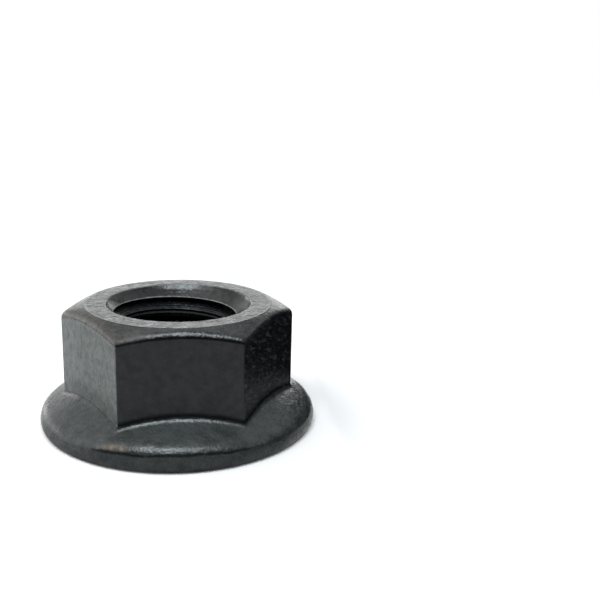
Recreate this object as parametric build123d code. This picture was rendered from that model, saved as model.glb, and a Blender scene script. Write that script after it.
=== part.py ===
"""Hexagon flange nut with a 1/2-13 thread, in millimetres.

The origin is the centre of the bearing face, and +Z is the thread's axis, towards the top of
the hexagon. One corner of the hexagon lies on +X. The nut is forged and tapped in one piece,
so it is one solid: a hexagon with a chamfered crown stands on a round flange, whose top
slopes down over a rounded knee to the rim, and the bore is countersunk at both ends.
"""

from build123d import *

import os
from math import cos, pi, radians, tan

# Hexagon and crown
ACROSS_FLATS = 18.9            # fits a 3/4 inch wrench
NUT_HEIGHT = 11.55
CORNER_RADIUS = 0.4            # rounding of the six upright edges
CROWN_INSET = 0.75             # from the flats in to the flat ring on top
CROWN_ANGLE = 23.5             # slope of the crown's chamfer, in degrees from level
CROWN_EDGE_RADIUS = 0.6        # rounding between the flat ring and the chamfer

# Flange
FLANGE_OVERHANG = 2.15         # from the hexagon's sharp corners out to the rim
FLANGE_SLOPE = 28.5            # slope of the flange's top, in degrees from level
RIM_FOOT_BREAK = 0.35          # edge break between the rim and the bearing face
RIM_SHOULDER_HEIGHT = 0.95     # from here up the rim leans in, towards its top edge
RIM_SHOULDER_RADIUS = 2.0      # rounding of that lean
RIM_EDGE_HEIGHT = 1.5          # the rim's crisp top edge
RIM_EDGE_INSET = 0.16          # how far that edge stands in from the widest part of the rim
KNEE_INSET = 0.56              # where the steep stretch above the edge would meet the slope
KNEE_HEIGHT = 1.96             # height of that meeting
KNEE_RADIUS = 2.0              # rounding between the steep stretch and the slope
HEX_FOOT_RADIUS = 0.5          # hollow where the hexagon stands on the flange

# Thread and countersinks
THREAD_DIAMETER = 12.7
THREAD_PITCH = 25.4 / 13
COUNTERSINK_OVERSIZE = 0.9     # how much wider a countersink's mouth is than the thread
COUNTERSINK_ANGLE = 90.0       # included angle of both countersinks
MOUTH_BREAK = 0.2              # edge break round the mouth in the bearing face, on either side

CLEARANCE = 1.0                # how far a cutting envelope stands clear of the nut

# Sizes that follow from the driving dimensions
hexagon_radius = ACROSS_FLATS / 2 / cos(pi / 6)
flange_radius = hexagon_radius + FLANGE_OVERHANG
bore_radius = (THREAD_DIAMETER - THREAD_PITCH) / 2      # the tapping drill's
mouth_radius = (THREAD_DIAMETER + COUNTERSINK_OVERSIZE) / 2
countersink_depth = (mouth_radius - bore_radius) / tan(radians(COUNTERSINK_ANGLE / 2))
break_depth = MOUTH_BREAK / tan(radians(COUNTERSINK_ANGLE / 2))


def turned(*corners: tuple[float, float, float]) -> Part:
    """Turn a half section round Z. Each corner is its radius, its height and its rounding."""
    points = [(radius, height) for radius, height, _ in corners]
    outline = FilletPolyline(*points, radius=[rounding for *_, rounding in corners], close=True)
    return revolve(make_face(Plane.XZ * outline), axis=Axis.Z)


def make_hexagon() -> Part:
    """The hexagon, rounded along its upright edges and chamfered at the crown."""
    outline = RegularPolygon(ACROSS_FLATS / 2, side_count=6, major_radius=False)
    prism = extrude(outline, amount=NUT_HEIGHT)
    prism = fillet(prism.edges().filter_by(Axis.Z), CORNER_RADIUS)
    ring_radius = ACROSS_FLATS / 2 - CROWN_INSET
    envelope_radius = hexagon_radius + CLEARANCE
    crown_drop = (envelope_radius - ring_radius) * tan(radians(CROWN_ANGLE))
    envelope = turned(
        (0, 0, 0),
        (envelope_radius, 0, 0),
        (envelope_radius, NUT_HEIGHT - crown_drop, 0),
        (ring_radius, NUT_HEIGHT, CROWN_EDGE_RADIUS),
        (0, NUT_HEIGHT, 0),
    )
    return prism & envelope


def make_flange() -> Part:
    """The flange: the bearing face, the rim up to its crisp edge, the knee and the sloping top."""
    knee_radius = flange_radius - KNEE_INSET
    peak = KNEE_HEIGHT + knee_radius * tan(radians(FLANGE_SLOPE))
    return turned(
        (0, 0, 0),
        (flange_radius - RIM_FOOT_BREAK, 0, 0),
        (flange_radius, RIM_FOOT_BREAK, 0),
        (flange_radius, RIM_SHOULDER_HEIGHT, RIM_SHOULDER_RADIUS),
        (flange_radius - RIM_EDGE_INSET, RIM_EDGE_HEIGHT, 0),
        (knee_radius, KNEE_HEIGHT, KNEE_RADIUS),
        (0, peak, 0),
    )


def make_bore() -> Part:
    """What the tapping drill and the two countersinks take out, with the edge break at the lower mouth."""
    wide = mouth_radius + CLEARANCE
    return turned(
        (0, -CLEARANCE, 0),
        (wide, -CLEARANCE, 0),
        (wide, 0, 0),
        (mouth_radius + MOUTH_BREAK, 0, 0),
        (mouth_radius - MOUTH_BREAK, break_depth, 0),
        (bore_radius, countersink_depth, 0),
        (bore_radius, NUT_HEIGHT - countersink_depth, 0),
        (mouth_radius, NUT_HEIGHT, 0),
        (wide, NUT_HEIGHT, 0),
        (wide, NUT_HEIGHT + CLEARANCE, 0),
        (0, NUT_HEIGHT + CLEARANCE, 0),
    )


def make_nut() -> Part:
    """The whole nut, with a hollow rounding all the way round the hexagon's foot."""
    hexagon = make_hexagon()
    flange = make_flange()
    blank = hexagon + flange
    foot = new_edges(hexagon, flange, combined=blank)
    blank = fillet(foot, HEX_FOOT_RADIUS)
    return blank - make_bore()


nut = make_nut()
nut.label = "flange_nut"
os.makedirs("parts", exist_ok=True)
export_step(nut, "parts/flange_nut.step")
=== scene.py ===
"""Looks for a hexagon flange nut with a right-hand 1/2-13 thread, in black oxide.

The nut is one piece. Its blank is a closed mesh, turned and shaped from a meridian outline, and a
helical groove made by Geometry Nodes is cut into its bore for the thread. The finish is procedural:
it reads Object coordinates, and attributes that say which face of the nut each spot lies on, how
rubbed, matt or stained it is, and where shade and light are painted on it. Lengths are in metres,
apart from the finish's, which are in millimetres.
"""

import logging
from dataclasses import dataclass, replace
from enum import Enum
from math import atan2, cos, pi, radians, sin, sqrt, tan

import bmesh
import bpy
import numpy as np
from mathutils import Matrix, Vector, noise

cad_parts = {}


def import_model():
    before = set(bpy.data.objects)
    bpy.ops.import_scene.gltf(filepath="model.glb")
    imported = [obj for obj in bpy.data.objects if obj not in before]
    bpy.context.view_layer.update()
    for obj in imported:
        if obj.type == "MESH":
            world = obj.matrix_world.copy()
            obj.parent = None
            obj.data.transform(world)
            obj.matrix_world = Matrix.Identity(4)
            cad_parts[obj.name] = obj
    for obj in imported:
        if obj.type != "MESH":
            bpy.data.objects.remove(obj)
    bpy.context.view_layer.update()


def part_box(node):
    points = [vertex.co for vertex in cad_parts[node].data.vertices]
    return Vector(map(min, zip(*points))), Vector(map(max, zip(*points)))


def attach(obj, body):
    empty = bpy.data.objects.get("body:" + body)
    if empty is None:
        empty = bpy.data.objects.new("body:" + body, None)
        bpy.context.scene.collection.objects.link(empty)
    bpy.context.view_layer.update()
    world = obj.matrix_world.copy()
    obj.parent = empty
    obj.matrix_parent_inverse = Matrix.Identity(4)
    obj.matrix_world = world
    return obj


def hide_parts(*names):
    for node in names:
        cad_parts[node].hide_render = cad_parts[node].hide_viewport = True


MM = 0.001
FLANK_ANGLE = radians(30)      # each flank of the thread, from the level
MERGE_DISTANCE = 0.0002 * MM   # points that lie closer together than this become one
SHARP_ANGLE = radians(32)      # edges that turn more than this stay sharp
NODE = "flange_nut"
BODY = "root"

Colour = tuple[float, float, float, float]
Socket = bpy.types.NodeSocket
Source = Socket | float | tuple[float, ...]     # what an input takes: a link or a plain value

BLACK = (0, 0, 0, 1)
WHITE = (1, 1, 1, 1)
WARM_LIGHT = (1.0, 0.99, 0.955)
COOL_LIGHT = (0.85, 0.95, 1.0)
PLAIN_LIGHT = (1, 1, 1)

log = logging.getLogger("flange_nut")


class Hand(Enum):
    """The way a thread winds."""

    RIGHT = "right"
    LEFT = "left"


@dataclass(frozen=True)
class Corner:
    """A corner of the meridian outline, with one value for each column round the nut.

    Attributes:
        radius: Distance from the axis.
        height: Height above the bearing face.
        rounding: Radius of the rounding there, or 0 for a sharp corner.
        arc_steps: Divisions of the rounding.
        run_steps: Divisions of the straight run that follows it.
    """

    radius: np.ndarray
    height: np.ndarray
    rounding: np.ndarray
    arc_steps: int
    run_steps: int


class Outline:
    """A closed meridian outline with rounded corners, the same for all columns at once."""

    def __init__(self, columns: int) -> None:
        """Start an outline for a nut with that many columns round its axis."""
        self.columns = columns
        self.corners: list[Corner] = []

    def add(
        self,
        radius: float | np.ndarray,
        height: float | np.ndarray,
        rounding: float | np.ndarray = 0.0,
        arc_steps: int = 1,
        run_steps: int = 1,
    ) -> None:
        """Add the next corner, in the order that keeps the metal on the left.

        Args:
            radius: Distance from the axis, one value or one for each column.
            height: Height above the bearing face, likewise.
            rounding: Radius of the rounding, likewise.
            arc_steps: Divisions of the rounding.
            run_steps: Divisions of the straight run that follows.
        """
        spread = np.ones(self.columns)
        self.corners.append(
            Corner(radius * spread, height * spread, rounding * spread, arc_steps, run_steps)
        )

    def rings(self) -> tuple[np.ndarray, np.ndarray]:
        """Divide the outline.

        Returns:
            The radii and the heights of its points, each with one row for each ring round the nut.
        """
        stretches = [self._round(index) for index in range(len(self.corners))]
        points: list[np.ndarray] = []
        for index, corner in enumerate(self.corners):
            arc = stretches[index]
            following = stretches[(index + 1) % len(stretches)]
            points.extend(arc)
            for step in range(1, corner.run_steps):
                share = step / corner.run_steps
                points.append(arc[-1] * (1 - share) + following[0] * share)
        table = np.array(points)
        return table[:, 0], table[:, 1]

    def _round(self, index: int) -> list[np.ndarray]:
        """Round one corner.

        Args:
            index: The corner's number.

        Returns:
            Points along the rounding, each as a pair of rows, radius and height.
        """
        corner = self.corners[index]
        here = np.array([corner.radius, corner.height])
        if not corner.rounding.any():
            return [here]
        before = self.corners[index - 1]
        after = self.corners[(index + 1) % len(self.corners)]
        arrive = here - np.array([before.radius, before.height])
        leave = np.array([after.radius, after.height]) - here
        arrive /= np.linalg.norm(arrive, axis=0)
        leave /= np.linalg.norm(leave, axis=0)
        turn = np.arctan2(arrive[0] * leave[1] - arrive[1] * leave[0], (arrive * leave).sum(axis=0))
        reach = corner.rounding * np.tan(np.abs(turn) / 2)
        start = here - arrive * reach
        side = np.sign(turn) * np.array([-arrive[1], arrive[0]])
        arc = []
        for step in range(corner.arc_steps + 1):
            angle = np.abs(turn) * step / corner.arc_steps
            arc.append(start + corner.rounding * (arrive * np.sin(angle) + side * (1 - np.cos(angle))))
        return arc


@dataclass(frozen=True)
class Thread:
    """The female thread, cut as a helical groove with 60 degree flanks.

    Attributes:
        diameter: Major diameter, at the groove's root.
        pitch: Rise of one turn.
        root_share: Width of the groove's flat root, as a share of the pitch.
        start_angle: Where the groove crosses the bearing face's level, from +X.
        overlap: How far the cutter stands into the open bore.
        spare_turns: Turns of the cutter beyond each end of the nut.
        steps: Divisions of one turn.
        hand: The way it winds.
    """

    diameter: float = 12.7 * MM
    pitch: float = 25.4 / 13 * MM
    root_share: float = 0.125
    start_angle: float = radians(49.5)
    overlap: float = 0.1 * MM
    spare_turns: int = 1
    steps: int = 144
    hand: Hand = Hand.RIGHT

    def cutter(self, bore_radius: float, height: float, dress: bpy.types.Material) -> bpy.types.Object:
        """Make the solid that cuts the groove.

        Args:
            bore_radius: Radius of the tapped bore.
            height: Height of the nut.
            dress: Material for the cutter, which the cut surface takes on.

        Returns:
            The cutter, as a plain mesh object.
        """
        tree = self._tree()
        root_radius = self.diameter / 2
        base_radius = bore_radius - self.overlap
        depth = root_radius - base_radius
        turns = height / self.pitch + 2 * self.spare_turns
        values = {
            "Radius": (root_radius + base_radius) / 2,
            "Depth": depth,
            "Root Width": self.pitch * self.root_share,
            "Mouth Width": self.pitch * self.root_share + 2 * depth * tan(FLANK_ANGLE),
            "Turns": turns,
            "Rise": turns * self.pitch,
            "Lowest": -self.spare_turns * self.pitch,
            "Start Angle": self.start_angle,
            "Steps": self.steps,
            "Left Hand": self.hand is Hand.LEFT,
            "Finish": dress,
        }
        return evaluated("thread_cutter", tree, values)

    def upper_flank_on(self, height: float, mouth_radius: float, angles: np.ndarray) -> np.ndarray:
        """Height at which the groove's upper flank meets the top countersink.

        Args:
            height: Height of the nut.
            mouth_radius: Radius of the countersink's mouth.
            angles: Directions from the axis.

        Returns:
            One height for each angle.
        """
        slope = tan(FLANK_ANGLE)
        root_top = self.pitch * (angles - self.start_angle) / (2 * pi) + self.pitch * self.root_share / 2
        highest = height - mouth_radius + self.diameter / 2
        turn = np.floor((highest - root_top) / self.pitch)
        root_top = root_top + turn * self.pitch
        return (root_top + slope * (self.diameter / 2 + height - mouth_radius)) / (1 + slope)

    def _tree(self) -> bpy.types.NodeTree:
        """Build the cutter's Geometry Nodes tree.

        Returns:
            A tree that sweeps a trapezium along a helix and closes its ends.
        """
        tree = GeometryTree("helical_groove")
        names = ("Radius", "Depth", "Root Width", "Mouth Width", "Turns", "Rise", "Lowest", "Start Angle")
        sizes = {name: tree.value(name, "NodeSocketFloat") for name in names}
        steps = tree.value("Steps", "NodeSocketInt")
        left_hand = tree.value("Left Hand", "NodeSocketBool")
        finish = tree.value("Finish", "NodeSocketMaterial")

        right_hand = tree.make("FunctionNodeBooleanMath", {0: left_hand}, operation="NOT")
        helix = tree.make(
            "GeometryNodeCurveSpiral",
            {
                "Resolution": steps,
                "Rotations": sizes["Turns"],
                "Start Radius": sizes["Radius"],
                "End Radius": sizes["Radius"],
                "Height": sizes["Rise"],
                "Reverse": right_hand,
            },
        )
        upright = tree.make("GeometryNodeSetCurveNormal", {"Curve": helix}, mode="Z_UP")
        section = tree.make(
            "GeometryNodeCurvePrimitiveQuadrilateral",
            {
                "Height": sizes["Depth"],
                "Bottom Width": sizes["Mouth Width"],
                "Top Width": sizes["Root Width"],
                "Offset": 0.0,
            },
            mode="TRAPEZOID",
        )
        outward = {"Geometry": section, "Rotation": (0, 0, radians(-90))}
        turned = tree.make("GeometryNodeTransform", outward)
        swept = tree.make(
            "GeometryNodeCurveToMesh", {"Curve": upright, "Profile Curve": turned, "Fill Caps": True}
        )
        lift = tree.make("ShaderNodeCombineXYZ", {"Z": sizes["Lowest"]})
        spin = tree.make("ShaderNodeCombineXYZ", {"Z": sizes["Start Angle"]})
        placed = tree.make(
            "GeometryNodeTransform", {"Geometry": swept, "Translation": lift, "Rotation": spin}
        )
        real = tree.make("GeometryNodeRealizeInstances", {"Geometry": placed})
        dressed = tree.make("GeometryNodeSetMaterial", {"Geometry": real, "Material": finish})
        tree.feed(tree.output.inputs["Geometry"], dressed)
        return tree.tree


class NodeBuilder:
    """A node tree that is built node by node."""

    def __init__(self, tree: bpy.types.NodeTree) -> None:
        """Take up a tree."""
        self.tree = tree

    def node(self, kind: str, sources: dict | None = None, **settings: object) -> bpy.types.Node:
        """Add a node.

        Args:
            kind: The node's type.
            sources: A link or a plain value for each input, by name or number.
            settings: The node's own properties.

        Returns:
            The node.
        """
        made = self.tree.nodes.new(kind)
        for name, setting in settings.items():
            setattr(made, name, setting)
        for name, source in (sources or {}).items():
            self.feed(made.inputs[name], source)
        return made

    def make(self, kind: str, sources: dict | None = None, **settings: object) -> Socket:
        """Add a node as node() does, and give its first output."""
        return self.node(kind, sources, **settings).outputs[0]

    def feed(self, socket: Socket, source: object) -> None:
        """Link an input, or set its value.

        Args:
            socket: The input.
            source: Another node's output, or a plain value.
        """
        if isinstance(source, Socket):
            self.tree.links.new(source, socket)
        else:
            socket.default_value = source

    def maths(self, operation: str, first: Source, *others: Source) -> Socket:
        """Reckon with Math nodes.

        Args:
            operation: What they do.
            first: The first value.
            others: The values that it then takes in, one after another, if the operation has any.

        Returns:
            The result.
        """
        result = first
        for other in others or (0.0,):
            result = self.make("ShaderNodeMath", {0: result, 1: other}, operation=operation)
        return result


class GeometryTree(NodeBuilder):
    """A Geometry Nodes tree with named inputs."""

    def __init__(self, name: str) -> None:
        """Start an empty tree.

        Args:
            name: The tree's name.
        """
        super().__init__(bpy.data.node_groups.new(name, "GeometryNodeTree"))
        self.tree.interface.new_socket("Geometry", in_out="OUTPUT", socket_type="NodeSocketGeometry")
        self.inputs = self.tree.nodes.new("NodeGroupInput")
        self.output = self.tree.nodes.new("NodeGroupOutput")

    def value(self, name: str, kind: str) -> Socket:
        """Add a named input of that socket type, and give the socket that carries it inside the tree."""
        self.tree.interface.new_socket(name, in_out="INPUT", socket_type=kind)
        return self.inputs.outputs[name]


def evaluated(name: str, tree: bpy.types.NodeTree, values: dict[str, object]) -> bpy.types.Object:
    """Run a Geometry Nodes tree and keep its result as a plain mesh.

    Args:
        name: Name of the new object.
        tree: The tree.
        values: A value for each of its named inputs.

    Returns:
        The object, with no modifier left on it.
    """
    holder = bpy.data.objects.new(name, bpy.data.meshes.new(name))
    bpy.context.scene.collection.objects.link(holder)
    modifier = holder.modifiers.new(name, "NODES")
    modifier.node_group = tree
    for item in tree.interface.items_tree:
        if item.in_out == "INPUT":
            modifier[item.identifier] = values[item.name]
    return applied(holder)


def applied(holder: bpy.types.Object) -> bpy.types.Object:
    """Turn an object's modifiers into its plain mesh and remove them.

    Args:
        holder: The object.

    Returns:
        The same object.
    """
    graph = bpy.context.evaluated_depsgraph_get()
    mesh = bpy.data.meshes.new_from_object(holder.evaluated_get(graph), depsgraph=graph)
    holder.modifiers.clear()
    holder.data = mesh
    return holder


@dataclass(frozen=True)
class Forging:
    """The uneven surface that the dies leave on the flange.

    Attributes:
        lump_depth: Depth of the broad lumps.
        lump_size: Their size.
        grain_depth: Depth of the small dents.
        grain_size: Their size.
        edge_waver: How far the rim's top edge strays up and down in long waves.
        waver_size: The size of those waves.
        edge_nick: How far it strays in short nicks.
        nick_size: The size of those nicks.
        rag_depth: How far the painted shade line along the rim's top edge is frayed.
        rag_size: The size of that fraying.
        off_wall: Distances from the hexagon's wall between which the dents gain their full depth.
        off_face: Heights above the bearing face between which they do.
    """

    LUMP_SEED = Vector((3.1, 7.7, 1.3))
    WAVER_SEED = Vector((0, 0, 4.2))
    NICK_SEED = Vector((0, 0, 9.1))

    lump_depth: float = 0.045 * MM
    lump_size: float = 2.6 * MM
    grain_depth: float = 0.020 * MM
    grain_size: float = 0.55 * MM
    edge_waver: float = 0.16 * MM
    waver_size: float = 2.4 * MM
    edge_nick: float = 0.06 * MM
    nick_size: float = 0.7 * MM
    rag_depth: float = 0.25 * MM
    rag_size: float = 0.6 * MM
    off_wall: tuple[float, float] = (0.05 * MM, 0.5 * MM)
    off_face: tuple[float, float] = (0.15 * MM, 0.6 * MM)

    def dent(self, place: Vector) -> float:
        """How deep the surface lies at a place.

        Args:
            place: The place.

        Returns:
            The depth, from nothing up.
        """
        lump = 0.5 + 0.5 * noise.noise(place / self.lump_size + self.LUMP_SEED)
        grain = 0.5 + 0.5 * noise.fractal(place / self.grain_size, 1.0, 2.0, 2)
        return self.lump_depth * lump + self.grain_depth * min(max(grain, 0.0), 1.0)

    def rag(self, places: np.ndarray) -> np.ndarray:
        """How far a line on the forged surface is frayed at each place."""
        frays = [max(noise.noise(Vector(place) / self.rag_size), 0.0) for place in places]
        return np.array(frays) * self.rag_depth

    def edge_line(self, angles: np.ndarray, radius: float) -> np.ndarray:
        """How far the rim's top edge strays from its level.

        Args:
            angles: Directions from the axis.
            radius: The edge's radius.

        Returns:
            One height for each angle.
        """
        strays = []
        for angle in angles:
            place = Vector((cos(angle), sin(angle), 0)) * radius
            waver = noise.noise(place / self.waver_size + self.WAVER_SEED)
            nick = noise.noise(place / self.nick_size + self.NICK_SEED)
            strays.append(self.edge_waver * waver + self.edge_nick * nick)
        return np.array(strays)


@dataclass(frozen=True)
class Knee:
    """The bend between the rim and the flange's sloping top.

    Attributes:
        edge_inset: How far the rim's top edge stands in from the widest part of the rim.
        edge_height: That edge's height.
        edge_rounding: Its rounding.
        inset: How far in the rim's steep top and the slope would meet.
        height: The height of that meeting.
        rounding: The rounding there.
    """

    edge_inset: float
    edge_height: float
    edge_rounding: float
    inset: float
    height: float
    rounding: float

    def between(self, other: "Knee", share: np.ndarray) -> dict[str, np.ndarray]:
        """Pass from this knee to another.

        Args:
            other: The other knee.
            share: 0 for this knee and 1 for the other, one value for each column.

        Returns:
            A row for each of the knee's sizes.
        """
        return {
            name: getattr(self, name) * (1 - share) + getattr(other, name) * share
            for name in self.__dataclass_fields__
        }


class Survey:
    """The finished mesh, point by point: where each point lies, and on which face and side of the nut."""

    SLACK = 0.03 * MM           # how far past a face's border a point may lie
    RING_SKIN = 0.012 * MM      # how far down the flat ring's skin reaches
    CROWN_SKIN = 0.40 * MM      # how far down the chamfer's skin reaches from its outer edge
    CROWN_INSET = 0.1 * MM      # how far in from the ring's radius that skin reaches
    TOP_BEND = 0.22 * MM        # how far the top countersink may stray from its cone
    LOW_BEND = 0.4 * MM         # how far the one in the bearing face may
    FLAT_REACH = (0.08 * MM, 0.02 * MM)     # how far inside and outside the wall a flat's points may lie

    def __init__(self, nut: "FlangeNut", mesh: bpy.types.Mesh) -> None:
        """Find where each point lies.

        Args:
            nut: The nut.
            mesh: Its finished mesh.
        """
        self.nut = nut
        self.places = positions(mesh)
        self.height = self.places[:, 2]
        self.radius = np.hypot(self.places[:, 0], self.places[:, 1])
        self.angle = np.arctan2(self.places[:, 1], self.places[:, 0])
        self.wall = nut.wall_radius(self.angle)
        self.crown = nut.crown_height(self.wall)
        self.foot = nut.foot_height(self.wall)
        self.side = np.round((self.angle + pi / 2) / (pi / 3)).astype(int) % 6

        sink = nut.mouth_radius - nut.bore_radius
        past_mouth = nut.mouth_radius - self.radius
        inside = self.radius < nut.mouth_radius + self.SLACK
        on_top_cone = np.abs(self.height - (nut.height - past_mouth)) < self.TOP_BEND
        self.top_bowl = inside & (self.height > nut.height - sink - self.SLACK) & on_top_cone
        on_low_cone = np.abs(self.height - past_mouth) < self.LOW_BEND
        self.low_bowl = inside & (self.height < sink + self.SLACK) & on_low_cone
        between_ends = (self.height > self.SLACK) & (self.height < nut.height - self.SLACK)
        self.thread = inside & ~self.top_bowl & ~self.low_bowl & between_ends
        top = self.height > nut.height - self.RING_SKIN
        self.ring = top & (self.radius > nut.mouth_radius - self.SLACK)
        crown = self.height > self.crown - self.CROWN_SKIN
        self.crown_face = crown & (self.radius > nut.ring_radius - self.CROWN_INSET) & ~self.ring
        inner, outer = self.FLAT_REACH
        on_wall = (self.radius > self.wall - inner) & (self.radius < self.wall + outer)
        self.flat = on_wall & (self.height > self.foot) & ~self.crown_face

    def faces(self) -> dict[str, np.ndarray]:
        """Name the regions that the finish tells apart.

        Returns:
            For every region an attribute's name and its values, 1 on its points and 0 elsewhere.
        """
        return {
            "ring": self.ring,
            "bowl": self.top_bowl | self.low_bowl,
            "crown": self.crown_face,
            "flat": self.flat,
            "thread": self.thread,
        }


@dataclass(frozen=True)
class Fade:
    """How strong a mark is, by the distance or the angle from where it is strongest.

    Attributes:
        full: How far it keeps its strength.
        gone: How far off nothing of it is left.
        strength: Its strength, up to 1.
        centre: Where it is strongest, as a place along its way or an angle from +X.
    """

    full: float
    gone: float
    strength: float = 1.0
    centre: float = 0.0

    def at(self, place: np.ndarray) -> np.ndarray:
        """The mark's strength at each place along its way, which doesn't close."""
        return self.strength * (1 - step(np.abs(place - self.centre), self.full, self.gone))

    def around(self, angles: np.ndarray) -> np.ndarray:
        """The mark's strength in each direction from the axis, all the way round."""
        aside = (angles - self.centre + pi) % (2 * pi) - pi
        return self.strength * (1 - step(np.abs(aside), self.full, self.gone))


@dataclass(frozen=True)
class WearAndPaintedLight:
    """Where the oxide is streaked, stained, matt, darker or rubbed off, and where shade and light are
    painted on it.

    A tuple of six has one value for each side of the hexagon, anticlockwise from the front one.

    Attributes:
        painted_side_lights: How far each flat is painted paler in mottled patches: painted light, strongest
            on the flat at -150 degrees, and an uneven tone on the flats at the back.
        streak_tones: How strong each flat's drawing marks are.
        crease_base: Where the painted shade in the crease at a flat's foot is darkest, as a share of the
            foot's rounding.
        crease_heights: How far up each flat the crease reaches.
        crease_tones: How dark it is.
        crease_core: The share of its height over which it is darkest.
        crease_width: How far from the wall it shows.
        line: The thin line of painted shade below the crease, by the height above the crease.
        line_tones: How dark it is on each side.
        line_width: How far from the wall it shows.
        lip: The heights at which the painted shadow at the rim's foot, next to the floor, sets in and ends.
        lip_tone: How dark it is.
        lip_width: How far in from the rim it shows.
        rim_tone: How dark the rim is.
        rim_width: How far in the rim is darkened, and how far above its edge at most.
        under: The painted shade line under the crown's edge on the front flat, by the height above that
            edge.
        brow: The frayed line of painted shade along the rim's top edge, by the distance from its middle.
        brow_lift: How far above the edge it runs.
        brow_width: How far in it shows.
        brow_fullness: The fullness of the knee between which it comes out.
        dim: The painted shade on the crown towards +X, going round.
        bowl_end: The painted shade over a lamp's reflection in the top countersink at -X, going round.
        stain: The stain along the crown's edge, going round. It stops short at the corner on -X.
        stain_edge: The same, by the height above the edge.
        stain_reach: How far inside and outside the wall it shows.
        matt: The matt patch below the stain, going round.
        matt_drop: How far below the crown's edge it starts.
        tarnish: The tarnish on the knee, going round.
        tarnish_bend: The same, by the distance from the full knee's bend.
        tarnish_rise: How far above the full knee's edge it gains its strength.
        least_gap: The gap from a pale edge on the edge itself, which leaves it only partly pale.
        ring_edge: How far in from the ring's radius its pale outer edge lies, and how far down it reaches.
        far: A gap at which no edge is pale.
    """

    painted_side_lights: tuple[float, ...] = (0.0, 0.0, 0.35, 0.1, 0.5, 0.96)
    streak_tones: tuple[float, ...] = (0.0, 1.0, 0.25, 0.15, 0.2, 0.0)
    crease_base: float = 0.6
    crease_heights: tuple[float, ...] = (0.36 * MM, 0.36 * MM, 0.4 * MM, 0.4 * MM, 0.8 * MM, 1.9 * MM)
    crease_tones: tuple[float, ...] = (0.78, 0.8, 0.5, 0.5, 0.4, 0.28)
    crease_core: float = 0.3
    crease_width: float = 0.2 * MM
    line: Fade = Fade(0.08 * MM, 0.30 * MM, centre=-0.24 * MM)
    line_tones: tuple[float, ...] = (0.0, 0.0, 0.0, 0.0, 0.3, 0.48)
    line_width: float = 0.3 * MM
    lip: tuple[float, ...] = (0.02 * MM, 0.16 * MM, 0.30 * MM, 0.56 * MM)
    lip_tone: float = 0.85
    lip_width: float = 0.9 * MM
    rim_tone: float = 0.22
    rim_width: tuple[float, float] = (0.3 * MM, 0.1 * MM)
    under: Fade = Fade(0.06 * MM, 0.22 * MM, 0.8, -0.328 * MM)
    brow: Fade = Fade(0.05 * MM, 0.20 * MM, 0.8)
    brow_lift: float = 0.02 * MM
    brow_width: float = 0.5 * MM
    brow_fullness: tuple[float, float] = (0.02, 0.45)
    dim: Fade = Fade(radians(26), radians(48), 0.55, radians(8))
    bowl_end: Fade = Fade(radians(12), radians(34), 0.6, pi)
    stain: Fade = Fade(radians(28), radians(42), 1.0, radians(-142))
    stain_edge: Fade = Fade(0.15 * MM, 0.55 * MM)
    stain_reach: tuple[float, float] = (1.2 * MM, 0.1 * MM)
    matt: Fade = Fade(radians(16), radians(26), 1.0, radians(-142))
    matt_drop: float = 0.6 * MM
    tarnish: Fade = Fade(radians(2), radians(8), 1.0, radians(-117))
    tarnish_bend: Fade = Fade(0.08 * MM, 0.38 * MM, centre=-0.02 * MM)
    tarnish_rise: float = 0.2 * MM
    least_gap: float = 0.02 * MM
    ring_edge: tuple[float, float] = (0.1 * MM, 0.1 * MM)
    far: float = 1.0 * MM

    def marks(self, spots: Survey) -> dict[str, np.ndarray]:
        """Find all marks: the streaked, stained and rubbed ones, and the painted shade and light.

        Args:
            spots: The nut's points.

        Returns:
            For every kind of mark an attribute's name and its values, one for each point.
        """
        # painted shade on the crown towards +X and over a reflection in the top countersink at -X
        on_crown = (spots.ring | spots.crown_face) & (spots.radius > spots.nut.ring_radius)
        ends = [on_crown * self.dim.around(spots.angle), spots.top_bowl * self.bowl_end.around(spots.angle)]
        return {
            # how much paler each flat is painted: painted light, in patches
            "painted_side_light": spots.flat * np.array(self.painted_side_lights)[spots.side],
            "streaks": spots.flat * np.array(self.streak_tones)[spots.side],
            # shade: the painted shade, and the rim's darker tone
            "shade": np.max(self._wall_darks(spots) + self._rim_darks(spots) + ends, axis=0),
            "rust": self._stained(spots),
            "matt": self.matt.around(spots.angle) * (spots.height < spots.crown - self.matt_drop),
            "tarnish": self._tarnished(spots),
            "edge_gap": self._edge_gap(spots),
        }

    def _wall_darks(self, spots: Survey) -> list[np.ndarray]:
        """Paint shade on the hexagon's wall.

        Args:
            spots: The nut's points.

        Returns:
            The crease at the wall's foot, the thin line below it and the line under the crown's edge.
        """
        # painted shade in the crease at the flats' foot, and a thin line of it below
        above = spots.height - spots.foot - spots.nut.foot_rounding * self.crease_base
        from_wall = np.abs(spots.radius - spots.wall)
        reach = np.array(self.crease_heights)[spots.side]
        crease = 1 - step(np.abs(above), self.crease_core * reach, reach)
        crease = crease * (from_wall < self.crease_width) * np.array(self.crease_tones)[spots.side]
        line = self.line.at(above) * (from_wall < self.line_width) * np.array(self.line_tones)[spots.side]
        # painted shade under the crown's edge, on the front flat only
        under = self.under.at(spots.height - spots.crown) * (from_wall < self.crease_width)
        return [crease, line, under * (spots.side == 0)]

    def _rim_darks(self, spots: Survey) -> list[np.ndarray]:
        """Darken the flange's rim: painted shade at its foot and along its top edge, and a darker tone on
        the rim itself.

        Args:
            spots: The nut's points.

        Returns:
            The band at the rim's foot, the rim itself and the frayed line along its top edge.
        """
        nut = spots.nut
        inward = nut.rim_radius - spots.radius
        # painted contact shadow at the rim's foot
        lip = step(spots.height, *self.lip[:2]) * (1 - step(spots.height, *self.lip[2:]))
        width, rise = self.rim_width
        rim = (inward < width) * (spots.height < nut.knee.edge_height + rise)
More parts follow.
